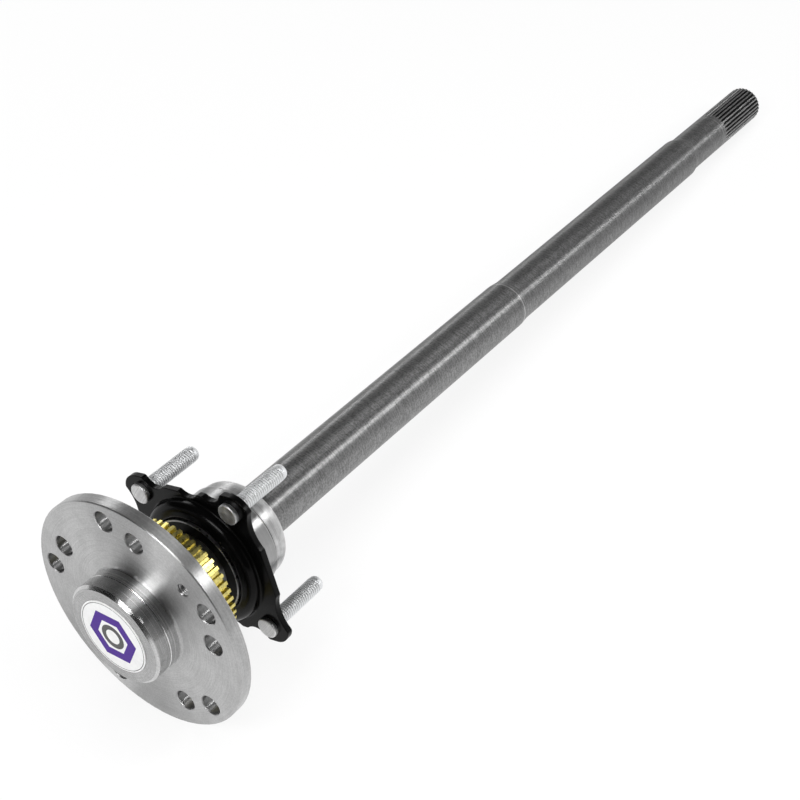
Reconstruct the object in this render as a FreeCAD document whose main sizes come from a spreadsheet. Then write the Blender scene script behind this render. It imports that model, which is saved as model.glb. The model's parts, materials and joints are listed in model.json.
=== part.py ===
import FreeCAD
import Part
import Sketcher
import math
import os
from types import SimpleNamespace

# Rear axle shaft of a car or light truck, lying on its flange rim and its splined end.
# All lengths are in millimetres. Distances along the shaft are counted from the wheel face
# of the flange, positive toward the splined end.

Vector = FreeCAD.Vector

drivingSizes = [
    # wheel flange and hub pilot
    ("flangeRim", 12.65, "flange outside the pitch circle of the wider wheel pattern"),
    ("flangeThickness", 9.0, "wheel flange"),
    ("flangeEdge", 0.7, "chamfer of the flange rim"),
    ("flangeBackFillet", 6.0, "flange back to barrel"),
    ("pilotRadius", 35.75, "hub pilot"),
    ("pilotLength", 20.5, "hub pilot, in front of the wheel face"),
    ("pilotChamfer", 2.0, "front edge of the pilot"),
    ("pilotFillet", 1.8, "pilot to wheel face"),
    ("pilotLineDistance", 9.0, "turned line on the pilot, from the wheel face"),
    ("pilotLineDepth", 0.3, "turned line"),
    ("pilotLineWidth", 0.6, "turned line"),
    # holes of the flange
    ("wideCircleRadius", 69.85, "pitch circle of the wider wheel pattern"),
    ("narrowCircleRadius", 63.5, "pitch circle of the narrower wheel pattern"),
    ("wheelHoleRadius", 7.1, "wheel stud hole"),
    ("wheelHoleEdge", 0.5, "chamfer of a wheel stud hole"),
    ("wheelHoleCount", 5, "holes on each circle"),
    ("narrowCircleAngle", 20.0, "degrees from the wider to the narrower pattern"),
    ("rotorHoleAngle", 128.4, "degrees to the rotor screw hole"),
    ("rotorHoleRadius", 4.0, "rotor screw hole, over the thread"),
    ("rotorHoleEdge", 0.6, "chamfer of the rotor screw hole"),
    # barrel behind the flange
    ("barrelLength", 16.6, "barrel between flange and tone ring"),
    ("toneShoulder", 4.5, "step from the tone ring seat up to the barrel"),
    ("toneSeatRadius", 37.5, "seat of the tone ring"),
    ("sealJournalLead", 7.0, "slope from the tone ring seat down to the journal, along the shaft"),
    ("sealJournalStep", 4.15, "step from the bearing seat up to the journal under the seal lip"),
    ("sealSpace", 26.7, "tone ring to the shoulder of the bearing"),
    ("bearingSeatRadius", 19.85, "seat of the bearing and the lock ring"),
    ("seatRunOut", 4.0, "seat left free past the lock ring"),
    ("seatStep", 0.7, "step from the shaft up to the seat"),
    # long shaft
    ("middleRadius", 18.05, "shaft between the two tapers"),
    ("firstTaperStart", 406.0, "first taper"),
    ("taperLength", 9.0, "each taper"),
    ("shaftLength", 826.0, "wheel face to splined end"),
    ("splineNeck", 52.0, "plain shaft between the second taper and the teeth"),
    ("splineRadius", 16.4, "splined end, over the teeth"),
    ("splineLength", 72.0, "teeth, with the run-out"),
    ("splineRunOut", 6.0, "where the grooves rise to the surface"),
    ("splineDepth", 1.25, "groove between two teeth"),
    ("splineGrooveTop", 2.3, "groove width at the tooth tips"),
    ("splineGrooveBottom", 0.9, "groove width at its floor"),
    ("splineTeeth", 30, "teeth"),
    ("endChamfer", 1.4, "edge of the splined end"),
    ("centreHoleRadius", 4.2, "turning centre in the splined end"),
    ("centreHoleDepth", 3.6, "turning centre"),
    ("centreDrillRadius", 1.6, "drilling at the foot of the turning centre"),
    ("centreDrillDepth", 7.0, "drilling, from the end face"),
    # tone ring
    ("toneRingWidth", 12.7, "tone ring, along the shaft"),
    ("toneRingWall", 7.7, "tone ring, from its seat to the tips of its teeth"),
    ("toneGapDepth", 2.6, "gap between two teeth"),
    ("toneGapTop", 3.1, "gap width at the tooth tips"),
    ("toneGapBottom", 1.9, "gap width at its floor"),
    ("toneTeeth", 52, "teeth of the tone ring"),
    ("toneEdge", 0.6, "edges of the tone ring"),
    # bearing
    ("bearingWidth", 23.6, "both bearing rings"),
    ("innerRingWall", 5.15, "inner ring, from its seat to its land"),
    ("landGap", 6.2, "space between the two lands"),
    ("outerRingWall", 5.1, "outer ring, from its land to its outside"),
    ("bearingRound", 1.3, "rounded edges of the outer ring"),
    ("ballRadius", 5.0, "bearing ball"),
    ("ballCount", 11, "bearing balls"),
    ("runningGap", 0.08, "ball to race, ball to cage"),
    ("shieldSeatStep", 1.2, "seats of the shield and the seal, cut into the outer ring's land"),
    ("shieldSeatDepth", 2.4, "those seats"),
    ("shieldThickness", 1.2, "rear shield"),
    ("shieldGap", 0.4, "shield to inner ring"),
    ("innerEdge", 0.6, "chamfers of the inner ring"),
    ("cageWall", 3.0, "ball cage, from inside to outside"),
    ("cageSide", 1.4, "ball cage past the balls, on each side"),
    # lock ring
    ("lockRingBoss", 0.7, "boss that meets the inner ring"),
    ("lockRingBossStep", 1.0, "boss inside the inner ring's land"),
    ("lockRingWall", 15.15, "lock ring, from its seat to its outside"),
    ("lockRingLength", 14.7, "lock ring body"),
    ("lockRingRound", 11.2, "rounded rear edge"),
    ("lockRingDrop", 5.6, "how far the rounded edge comes in"),
    ("lockRingEdge", 0.8, "edges at the bore"),
    # retainer plate
    ("plateThickness", 4.0, "retainer plate"),
    ("plateAngle", -20.3, "degrees of the plate about the shaft"),
    ("studHalfWidth", 39.5, "stud, across the plate"),
    ("studHalfHeight", 43.0, "stud, along the plate"),
    ("earSide", 15.5, "stud to the long side"),
    ("earTip", 11.9, "stud to the tip of its ear"),
    ("earRound", 13.5, "corner of an ear"),
    ("shortSideSet", 4.5, "short sides, back from the tips of the ears"),
    ("earValleyRadius", 11.0, "hollow beside an ear on a short side"),
    ("earValleySet", 15.0, "its centre, in from the stud"),
    ("earValleyDepth", 2.4, "its floor, in from the short side"),
    ("notchRadius", 11.8, "notch in a short side"),
    ("notchSpace", 20.0, "its centre to the centre of the nearer ear hollow"),
    ("notchDepth", 3.5, "its floor, in from the short side"),
    ("sideValleyRadius", 25.4, "hollow in a long side"),
    ("sideValleySet", 12.0, "its centre, in from the stud"),
    ("sideValleyDepth", 4.2, "its floor, in from the long side"),
    ("plateCornerRound", 2.2, "corners between hollows and sides"),
    ("domeBreadth", 11.0, "dome, from the seal bore to its outside"),
    ("domeHeight", 7.4, "dome above the plate"),
    ("domeInsideRound", 1.6, "inner shoulder of the hollow dome"),
    ("domeFootRound", 1.2, "fillet at the foot of the dome"),
    ("lipRound", 2.6, "inner edge of the dome"),
    ("plateBoreGap", 0.1, "plate to seal case"),
    # studs of the retainer plate
    ("studPressRadius", 5.9, "pressed part of a stud"),
    ("studHeadRim", 1.3, "stud head outside the pressed part"),
    ("studHeadThickness", 3.2, "stud head"),
    ("studHeadEdge", 0.5, "chamfer of a stud head"),
    ("studShoulderStep", 0.15, "smooth shoulder behind the plate, under the pressed part"),
    ("studShoulderLength", 4.6, "that shoulder"),
    ("studThreadStep", 0.2, "thread's outside, under the shoulder"),
    ("studLength", 49.3, "stud under its head"),
    ("studTipRound", 3.0, "rounded tip of a stud"),
    # shaft seal
    ("sealDepth", 12.1, "seal case, from its front edge to the bearing"),
    ("sealWall", 1.2, "sheet of the seal case"),
    ("sealFlangeThickness", 1.5, "flange between bearing and plate"),
    ("sealFlangeStep", 1.8, "that flange outside the case"),
    ("sealFlangeGap", 0.15, "flange to its recess in the plate"),
    ("sealSpigot", 2.2, "part of the case pressed into the outer ring"),
    ("sealWebSet", 1.9, "web of the case behind its front edge"),
    ("sealWebWidth", 5.7, "web, from its inner edge to the outside of the case"),
    ("sealFaceSet", 0.9, "rubber face behind the front edge"),
    ("sealLipGap", 0.05, "lip to journal"),
    ("sealNeckGap", 1.6, "neck of the lip, off the journal"),
    ("sealLipWall", 1.6, "neck of the lip to its back, under the spring"),
    ("sealWebGap", 1.4, "back of the lip to the inner edge of the web"),
    ("sealLipLength", 8.9, "lip, behind the front edge"),
    ("sealLipLead", 3.9, "front slope of the sprung lip, along the shaft"),
    ("dustLipWidth", 0.5, "edge of the dust lip, along the shaft"),
    ("springWireRadius", 0.9, "garter spring"),
    # label
    ("labelMargin", 9.5, "label in from the side of the pilot"),
    ("labelThickness", 0.6, "label"),
]

leastCut = 0.01      # cubic millimetres, under which a cut has missed
sharpAngle = 12.0    # degrees between two faces that meet at a sharp edge
uprightSlope = 0.999  # part of a unit step along an upright edge that goes up


# A size together with the cell formula that gives it, so that every shape stays bound to the sheet.
class Size:
    def __init__(self, value, formula):
        self.value = value
        self.formula = formula

    def join(self, sign, value, other):
        return Size(value, "(" + self.formula + sign + other.formula + ")")

    def __add__(self, other):
        other = asSize(other)
        return self.join(" + ", self.value + other.value, other)

    def __sub__(self, other):
        other = asSize(other)
        return self.join(" - ", self.value - other.value, other)

    def __mul__(self, other):
        other = asSize(other)
        return self.join(" * ", self.value * other.value, other)

    def __truediv__(self, other):
        other = asSize(other)
        return self.join(" / ", self.value / other.value, other)

    def __neg__(self):
        return Size(-self.value, "(-" + self.formula + ")")


def asSize(number):
    if isinstance(number, Size):
        return number
    return Size(float(number), repr(float(number)))


def squareRoot(size):
    return Size(math.sqrt(size.value), "sqrt(" + size.formula + ")")


# The sheet holds one driving size in each row: its name, its value and what it measures.
def makeSheet(doc):
    sheet = doc.addObject("Spreadsheet::Sheet", "Sizes")
    size = SimpleNamespace()
    for row, (name, value, meaning) in enumerate(drivingSizes, start=1):
        sheet.set("A%d" % row, name)
        sheet.set("B%d" % row, str(value))
        sheet.set("C%d" % row, meaning)
        sheet.setAlias("B%d" % row, name)
        setattr(size, name, Size(value, "Sizes." + name))
    doc.recompute()
    followShaft(size)
    followBearing(size)
    followSeal(size)
    followPlate(size)
    return size


# What fits, seats or lines up follows the size that it fits. These are the shaft's own such sizes.
def followShaft(size):
    size.flangeRadius = size.wideCircleRadius + size.flangeRim
    size.labelRadius = size.pilotRadius - size.labelMargin
    size.barrelRadius = size.toneSeatRadius + size.toneShoulder
    size.toneRingStart = size.flangeThickness + size.barrelLength
    size.toneRingEnd = size.toneRingStart + size.toneRingWidth
    size.toneRadius = size.toneSeatRadius + size.toneRingWall
    size.sealJournalRadius = size.bearingSeatRadius + size.sealJournalStep
    size.bearingStart = size.toneRingEnd + size.sealSpace
    size.bearingEnd = size.bearingStart + size.bearingWidth
    size.lockRingStart = size.bearingEnd + size.lockRingBoss
    size.seatEnd = size.lockRingStart + size.lockRingLength + size.seatRunOut
    size.rootRadius = size.bearingSeatRadius - size.seatStep
    size.splineStart = size.shaftLength - size.splineLength
    size.secondTaperStart = size.splineStart - size.splineNeck - size.taperLength


def followBearing(size):
    size.raceRadius = size.ballRadius + size.runningGap
    size.innerLandRadius = size.bearingSeatRadius + size.innerRingWall
    size.outerLandRadius = size.innerLandRadius + size.landGap
    size.ballCircleRadius = size.innerLandRadius + size.landGap / 2
    size.bearingRadius = size.outerLandRadius + size.outerRingWall
    size.shieldSeatRadius = size.outerLandRadius + size.shieldSeatStep
    size.cageInnerRadius = size.ballCircleRadius - size.cageWall / 2
    size.cageOuterRadius = size.ballCircleRadius + size.cageWall / 2
    size.cageHalfWidth = size.ballRadius + size.cageSide
    size.lockRingBossRadius = size.innerLandRadius - size.lockRingBossStep
    size.lockRingRadius = size.bearingSeatRadius + size.lockRingWall


def followSeal(size):
    size.sealFront = size.bearingStart - size.sealDepth
    size.sealNeckRadius = size.sealJournalRadius + size.sealNeckGap
    size.sealLipBackRadius = size.sealNeckRadius + size.sealLipWall
    size.sealWebInnerRadius = size.sealLipBackRadius + size.sealWebGap
    size.sealRadius = size.sealWebInnerRadius + size.sealWebWidth
    size.sealInsideRadius = size.sealRadius - size.sealWall
    size.sealFlangeRadius = size.sealRadius + size.sealFlangeStep
    size.sealWebEnd = size.sealWebSet + size.sealWall


def followPlate(size):
    size.plateStart = size.bearingStart - size.plateThickness
    size.plateBore = size.sealRadius + size.plateBoreGap
    size.domeRadius = size.plateBore + size.domeBreadth
    size.domeRound = size.plateThickness + size.domeInsideRound
    size.plateHalfWidth = size.studHalfWidth + size.earSide
    size.plateHalfHeight = size.studHalfHeight + size.earTip
    size.shortSide = size.plateHalfHeight - size.shortSideSet
    size.earValleyAcross = size.studHalfWidth - size.earValleySet
    size.notchAcross = size.notchSpace - size.earValleyAcross
    size.sideValleyAlong = size.studHalfHeight - size.sideValleySet
    size.studHeadRadius = size.studPressRadius + size.studHeadRim
    size.studShoulderRadius = size.studPressRadius - size.studShoulderStep
    size.studThreadRadius = size.studShoulderRadius - size.studThreadStep


def originFeature(body, role):
    for feature in body.Origin.OriginFeatures:
        if feature.Role == role:
            return feature
    raise ValueError(role)


# Sketch on one of the body's own planes. It can be turned about the body's Z axis, or raised along it.
def makeSketch(body, name, plane):
    sketch = body.newObject("Sketcher::SketchObject", name)
    sketch.AttachmentSupport = (originFeature(body, plane), [""])
    sketch.MapMode = "FlatFace"
    return sketch


def turnSketch(sketch, turn):
    sketch.AttachmentOffset = FreeCAD.Placement(Vector(), FreeCAD.Rotation(Vector(0, 1, 0), turn.value))
    sketch.setExpression("AttachmentOffset.Rotation.Angle", turn.formula)


def raiseSketch(sketch, level):
    sketch.AttachmentOffset = FreeCAD.Placement(Vector(0, 0, level.value), FreeCAD.Rotation())
    sketch.setExpression("AttachmentOffset.Base.z", level.formula)


def addBound(sketch, constraint, formula):
    index = sketch.addConstraint(constraint)
    sketch.setExpression("Constraints[%d]" % index, formula)


# A zero lies on the sketch's own axis, because a distance can't be nought.
def lockPoint(sketch, geometry, end, x, y):
    for kind, size, zeroAxis in (("DistanceX", asSize(x), -2), ("DistanceY", asSize(y), -1)):
        if size.value == 0:
            sketch.addConstraint(Sketcher.Constraint("PointOnObject", geometry, end, zeroAxis))
        else:
            addBound(sketch, Sketcher.Constraint(kind, -1, 1, geometry, end, size.value), size.formula)


# Arc from start to finish; a positive radius runs counter-clockwise, a negative one clockwise.
def arcBetween(start, finish, radius):
    middle = (start + finish) * 0.5
    chord = finish - start
    height = math.sqrt(max(radius * radius - chord.Length ** 2 / 4, 0))
    side = Vector(-chord.y, chord.x, 0).normalize()
    centre = middle + side * math.copysign(height, radius)
    circle = Part.Circle(centre, Vector(0, 0, 1), abs(radius))
    first, last = (start, finish) if radius > 0 else (finish, start)
    return Part.ArcOfCircle(circle, circle.parameter(first), circle.parameter(last))


# Closed outline through corners (x, y) or (x, y, radius), where a radius bends the side that follows.
# Every corner and radius is bound to the sheet.
def drawOutline(sketch, corners):
    ends = []
    for number, corner in enumerate(corners):
        following = corners[(number + 1) % len(corners)]
        start = Vector(asSize(corner[0]).value, asSize(corner[1]).value, 0)
        finish = Vector(asSize(following[0]).value, asSize(following[1]).value, 0)
        if len(corner) == 2:
            index = sketch.addGeometry(Part.LineSegment(start, finish), False)
            ends.append((index, 1, 2))
        else:
            index = sketch.addGeometry(arcBetween(start, finish, corner[2].value), False)
            ends.append((index, 1, 2) if corner[2].value > 0 else (index, 2, 1))
    for number, (index, first, last) in enumerate(ends):
        nextIndex, nextFirst, nextLast = ends[(number + 1) % len(ends)]
        sketch.addConstraint(Sketcher.Constraint("Coincident", index, last, nextIndex, nextFirst))
        lockPoint(sketch, index, first, corners[number][0], corners[number][1])
        if len(corners[number]) == 3:
            radius = corners[number][2]
            absolute = radius if radius.value > 0 else -radius
            addBound(sketch, Sketcher.Constraint("Radius", index, absolute.value), absolute.formula)


def drawCircle(sketch, x, y, radius):
    centre = Vector(asSize(x).value, asSize(y).value, 0)
    index = sketch.addGeometry(Part.Circle(centre, Vector(0, 0, 1), radius.value), False)
    lockPoint(sketch, index, 3, x, y)
    addBound(sketch, Sketcher.Constraint("Radius", index, radius.value), radius.formula)


# Rectangle ring or bar between two radii and two levels, for turned profiles.
def box(inner, low, outer, high):
    return [(inner, low), (outer, low), (outer, high), (inner, high)]


# A cut that removes nothing is an error.
def finishCut(body, feature, name):
    before = feature.BaseFeature.Shape.Volume
    body.Document.recompute()
    if feature.Shape.Volume > before - leastCut:
        raise ValueError(name + " removes nothing")
    return feature


def turnOutline(body, name, corners):
    sketch = makeSketch(body, name + "Profile", "XZ_Plane")
    drawOutline(sketch, corners)
    feature = body.newObject("PartDesign::Revolution", name)
    feature.Profile = sketch
    feature.ReferenceAxis = (sketch, ["V_Axis"])
    feature.Angle = 360
    body.Document.recompute()
    return feature


def grooveOutline(body, name, corners):
    sketch = makeSketch(body, name + "Profile", "XZ_Plane")
    drawOutline(sketch, corners)
    feature = body.newObject("PartDesign::Groove", name)
    feature.Profile = sketch
    feature.ReferenceAxis = (sketch, ["V_Axis"])
    feature.Angle = 360
    return finishCut(body, feature, name)


# Through hole from the body's XY plane up to a depth, turned round its own centre line so that it has
# a chamfer at both faces.
def boreHole(body, name, turn, centre, radius, edge, depth):
    sketch = makeSketch(body, name + "Profile", "XZ_Plane")
    turnSketch(sketch, turn)
    start = Vector(centre.value, 0, 0)
    finish = Vector(centre.value, depth.value, 0)
    line = sketch.addGeometry(Part.LineSegment(start, finish), True)
    lockPoint(sketch, line, 1, centre, 0)
    lockPoint(sketch, line, 2, centre, depth)
    drawOutline(sketch, [
        (centre, 0),
        (centre + radius + edge, 0),
        (centre + radius, edge),
        (centre + radius, depth - edge),
        (centre + radius + edge, depth),
        (centre, depth),
    ])
    feature = body.newObject("PartDesign::Groove", name)
    feature.Profile = sketch
    feature.ReferenceAxis = (sketch, ["Axis0"])
    feature.Angle = 360
    return finishCut(body, feature, name)


def pocketSketch(body, name, sketch, depth, reversed=True):
    feature = body.newObject("PartDesign::Pocket", name)
    feature.Profile = sketch
    feature.Type = "Length"
    feature.Length = depth.value
    feature.setExpression("Length", depth.formula)
    feature.Reversed = reversed
    return finishCut(body, feature, name)


def repeatRound(body, name, features, count):
    pattern = body.newObject("PartDesign::PolarPattern", name)
    pattern.Originals = features
    pattern.Axis = (originFeature(body, "Z_Axis"), [""])
    pattern.Angle = 360
    pattern.Occurrences = int(count.value)
    pattern.setExpression("Occurrences", count.formula)
    body.Tip = pattern
    body.Document.recompute()
    return pattern


# Edges that run along Z where two faces meet at an angle, found by the direction of the faces there.
def sharpUprightEdges(shape):
    names = []
    for number, edge in enumerate(shape.Edges, start=1):
        if not isinstance(edge.Curve, Part.Line):
            continue
        if abs(edge.tangentAt(edge.FirstParameter).z) < uprightSlope:
            continue
        middle = edge.valueAt((edge.FirstParameter + edge.LastParameter) / 2)
        faces = shape.ancestorsOfType(edge, Part.Face)
        normals = [face.normalAt(*face.Surface.parameter(middle)) for face in faces]
        if len(normals) == 2 and normals[0].getAngle(normals[1]) > math.radians(sharpAngle):
            names.append("Edge%d" % number)
    return names


def roundEdges(body, name, base, edges, radius):
    fillet = body.newObject("PartDesign::Fillet", name)
    fillet.Base = (base, edges)
    fillet.Radius = radius.value
    fillet.setExpression("Radius", radius.formula)
    body.Document.recompute()
    return fillet


# One forging: hub pilot, wheel flange, barrel, journals, long shaft with two tapers, splined end.
def makeShaft(doc, size):
    body = doc.addObject("PartDesign::Body", "AxleShaft")
    lineLow = -size.pilotLineDistance - size.pilotLineWidth / 2
    lineHigh = lineLow + size.pilotLineWidth
    corners = [
        (0, -size.pilotLength),
        (size.pilotRadius - size.pilotChamfer, -size.pilotLength),
        (size.pilotRadius, size.pilotChamfer - size.pilotLength),
        (size.pilotRadius, lineLow),
        (size.pilotRadius - size.pilotLineDepth, -size.pilotLineDistance),
        (size.pilotRadius, lineHigh),
        (size.pilotRadius, -size.pilotFillet, -size.pilotFillet),
        (size.pilotRadius + size.pilotFillet, 0),
        (size.flangeRadius - size.flangeEdge, 0),
        (size.flangeRadius, size.flangeEdge),
        (size.flangeRadius, size.flangeThickness - size.flangeEdge),
        (size.flangeRadius - size.flangeEdge, size.flangeThickness),
        (size.barrelRadius + size.flangeBackFillet, size.flangeThickness, -size.flangeBackFillet),
        (size.barrelRadius, size.flangeThickness + size.flangeBackFillet),
        (size.barrelRadius, size.toneRingStart),
        (size.toneSeatRadius, size.toneRingStart),
        (size.toneSeatRadius, size.toneRingEnd),
        (size.sealJournalRadius, size.toneRingEnd + size.sealJournalLead),
        (size.sealJournalRadius, size.bearingStart),
        (size.bearingSeatRadius, size.bearingStart),
        (size.bearingSeatRadius, size.seatEnd),
        (size.rootRadius, size.seatEnd + size.seatStep),
        (size.rootRadius, size.firstTaperStart),
        (size.middleRadius, size.firstTaperStart + size.taperLength),
        (size.middleRadius, size.secondTaperStart),
        (size.splineRadius, size.secondTaperStart + size.taperLength),
        (size.splineRadius, size.shaftLength - size.endChamfer),
        (size.splineRadius - size.endChamfer, size.shaftLength),
        (size.centreHoleRadius, size.shaftLength),
        (size.centreDrillRadius, size.shaftLength - size.centreHoleDepth),
        (size.centreDrillRadius, size.shaftLength - size.centreDrillDepth),
        (0, size.shaftLength - size.centreDrillDepth),
    ]
    turnOutline(body, "Forging", corners)
    wide = boreHole(body, "WideCircleHole", asSize(0), size.wideCircleRadius,
                    size.wheelHoleRadius, size.wheelHoleEdge, size.flangeThickness)
    repeatRound(body, "WideCircle", [wide], size.wheelHoleCount)
    narrow = boreHole(body, "NarrowCircleHole", size.narrowCircleAngle, size.narrowCircleRadius,
                      size.wheelHoleRadius, size.wheelHoleEdge, size.flangeThickness)
    repeatRound(body, "NarrowCircle", [narrow], size.wheelHoleCount)
    boreHole(body, "RotorScrewHole", size.rotorHoleAngle, size.narrowCircleRadius,
             size.rotorHoleRadius, size.rotorHoleEdge, size.flangeThickness)
    groove = cutSplineGroove(body, size)
    repeatRound(body, "Splines", [groove], size.splineTeeth)
    return body


# The groove is full depth to near its inner end and then rises to the surface, as the cutter leaves it.
def cutSplineGroove(body, size):
    stations = [
        ("SplineOpenEnd", size.shaftLength, asSize(0)),
        ("SplineFullDepth", size.splineStart + size.splineRunOut, asSize(0)),
        ("SplineRunOut", size.splineStart, size.splineDepth),
    ]
    sketches = []
    for name, level, rise in stations:
        sketch = makeSketch(body, name, "XY_Plane")
        raiseSketch(sketch, level)
        top = size.splineRadius + rise
        drawOutline(sketch, toothGap(top, size.splineDepth, size.splineGrooveTop, size.splineGrooveBottom))
        sketches.append(sketch)
    groove = body.newObject("PartDesign::SubtractiveLoft", "SplineGroove")
    groove.Profile = sketches[0]
    groove.Sections = sketches[1:]
    groove.Ruled = True
    return finishCut(body, groove, "SplineGroove")


# Cross-section of the space between two teeth, on the X axis and open outward.
def toothGap(radius, depth, topWidth, bottomWidth):
    floor = radius - depth
    outside = radius + depth
    return [
        (floor, -bottomWidth / 2),
        (radius, -topWidth / 2),
        (outside, -topWidth / 2),
        (outside, topWidth / 2),
        (radius, topWidth / 2),
        (floor, bottomWidth / 2),
    ]


def makeToneRing(doc, size):
    body = doc.addObject("PartDesign::Body", "ToneRing")
    corners = [
        (size.toneSeatRadius + size.toneEdge, 0),
        (size.toneRadius, 0),
        (size.toneRadius, size.toneRingWidth),
        (size.toneSeatRadius + size.toneEdge, size.toneRingWidth),
        (size.toneSeatRadius, size.toneRingWidth - size.toneEdge),
        (size.toneSeatRadius, size.toneEdge),
    ]
    turnOutline(body, "ToneRingBlank", corners)
    sketch = makeSketch(body, "ToneGapProfile", "XY_Plane")
    drawOutline(sketch, toothGap(size.toneRadius, size.toneGapDepth, size.toneGapTop, size.toneGapBottom))
    gap = pocketSketch(body, "ToneGap", sketch, size.toneRingWidth)
    repeatRound(body, "ToneTeeth", [gap], size.toneTeeth)
    return body


# Half width of a race where it meets the land beside it.
def raceHalfWidth(size, landRadius):
    away = landRadius - size.ballCircleRadius
    return squareRoot(size.raceRadius * size.raceRadius - away * away)


def makeOuterRing(doc, size):
    body = doc.addObject("PartDesign::Body", "BearingOuterRing")
    width = size.bearingWidth
    half = raceHalfWidth(size, size.outerLandRadius)
    corners = [
        (size.bearingRadius - size.bearingRound, 0, size.bearingRound),
        (size.bearingRadius, size.bearingRound),
        (size.bearingRadius, width - size.bearingRound, size.bearingRound),
        (size.bearingRadius - size.bearingRound, width),
        (size.shieldSeatRadius, width),
        (size.shieldSeatRadius, width - size.shieldSeatDepth),
        (size.outerLandRadius, width - size.shieldSeatDepth),
        (size.outerLandRadius, width / 2 + half, -size.raceRadius),
        (size.outerLandRadius, width / 2 - half),
        (size.outerLandRadius, size.shieldSeatDepth),
        (size.shieldSeatRadius, size.shieldSeatDepth),
        (size.shieldSeatRadius, 0),
    ]
    turnOutline(body, "OuterRingTurned", corners)
    return body


def makeInnerRing(doc, size):
    body = doc.addObject("PartDesign::Body", "BearingInnerRing")
    width = size.bearingWidth
    half = raceHalfWidth(size, size.innerLandRadius)
    edge = size.innerEdge
    corners = [
        (size.bearingSeatRadius + edge, 0),
        (size.innerLandRadius - edge, 0),
        (size.innerLandRadius, edge),
        (size.innerLandRadius, width / 2 - half, -size.raceRadius),
        (size.innerLandRadius, width / 2 + half),
        (size.innerLandRadius, width - edge),
        (size.innerLandRadius - edge, width),
        (size.bearingSeatRadius + edge, width),
        (size.bearingSeatRadius, width - edge),
        (size.bearingSeatRadius, edge),
    ]
    turnOutline(body, "InnerRingTurned", corners)
    return body


def makeShield(doc, size):
    body = doc.addObject("PartDesign::Body", "BearingShield")
    inner = size.innerLandRadius + size.shieldGap
    turnOutline(body, "ShieldTurned", box(inner, 0, size.shieldSeatRadius, size.shieldThickness))
    return body


def makeCage(doc, size):
    body = doc.addObject("PartDesign::Body", "BallCage")
    half = size.cageHalfWidth
    turnOutline(body, "CageRing", box(size.cageInnerRadius, -half, size.cageOuterRadius, half))
    sketch = makeSketch(body, "CagePocketProfile", "YZ_Plane")
    drawCircle(sketch, 0, 0, size.raceRadius)
    pocket = pocketSketch(body, "CagePocket", sketch, size.cageOuterRadius + size.cageWall)
    repeatRound(body, "CagePockets", [pocket], size.ballCount)
    return body


def makeBall(doc, size, name):
    ball = doc.addObject("Part::Sphere", name)
    ball.Radius = size.ballRadius.value
    ball.setExpression("Radius", size.ballRadius.formula)
    return ball


# Ring pressed on behind the bearing: a boss meets the inner ring and keeps the rest off the outer ring.
def makeLockRing(doc, size):
    body = doc.addObject("PartDesign::Body", "LockRing")
    edge = size.lockRingEdge
    inward = size.lockRingRound - size.lockRingDrop
    roundLength = squareRoot(size.lockRingRound * size.lockRingRound - inward * inward)
    roundEnd = size.lockRingLength - edge
    corners = [
        (size.bearingSeatRadius, -size.lockRingBoss),
        (size.lockRingBossRadius, -size.lockRingBoss),
        (size.lockRingBossRadius, 0),
        (size.lockRingRadius, 0),
        (size.lockRingRadius, roundEnd - roundLength, size.lockRingRound),
        (size.lockRingRadius - size.lockRingDrop, roundEnd),
        (size.lockRingRadius - size.lockRingDrop - edge, size.lockRingLength),
        (size.bearingSeatRadius + edge, size.lockRingLength),
        (size.bearingSeatRadius, size.lockRingLength - edge),
    ]
    turnOutline(body, "LockRingTurned", corners)
    return body


# Pressed steel plate with four ears and a dome round the seal, hollow behind.
def makeRetainerPlate(doc, size):
    body = doc.addObject("PartDesign::Body", "RetainerPlate")
    blank = padBlank(body, size)
    roundEdges(body, "EarRounds", blank, sharpUprightEdges(blank.Shape), size.earRound)
    cutPlateSides(body, size)
    sides = body.Tip
    roundEdges(body, "SideRounds", sides, sharpUprightEdges(sides.Shape), size.plateCornerRound)
    turnOutline(body, "Dome", domeProfile(size))
    hollowPlate(body, size)
    sketch = makeSketch(body, "StudHoleProfile", "XY_Plane")
    for x, y in studPlaces(size):
        drawCircle(sketch, x, y, size.studPressRadius)
    pocketSketch(body, "StudHoles", sketch, size.plateThickness)
    return body


def padBlank(body, size):
    sketch = makeSketch(body, "BlankProfile", "XY_Plane")
    across = size.plateHalfWidth
    along = size.plateHalfHeight
    drawOutline(sketch, box(-across, -along, across, along))
    blank = body.newObject("PartDesign::Pad", "Blank")
    blank.Profile = sketch
    blank.Length = size.plateThickness.value
    blank.setExpression("Length", size.plateThickness.formula)
    body.Document.recompute()
    return blank


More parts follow.
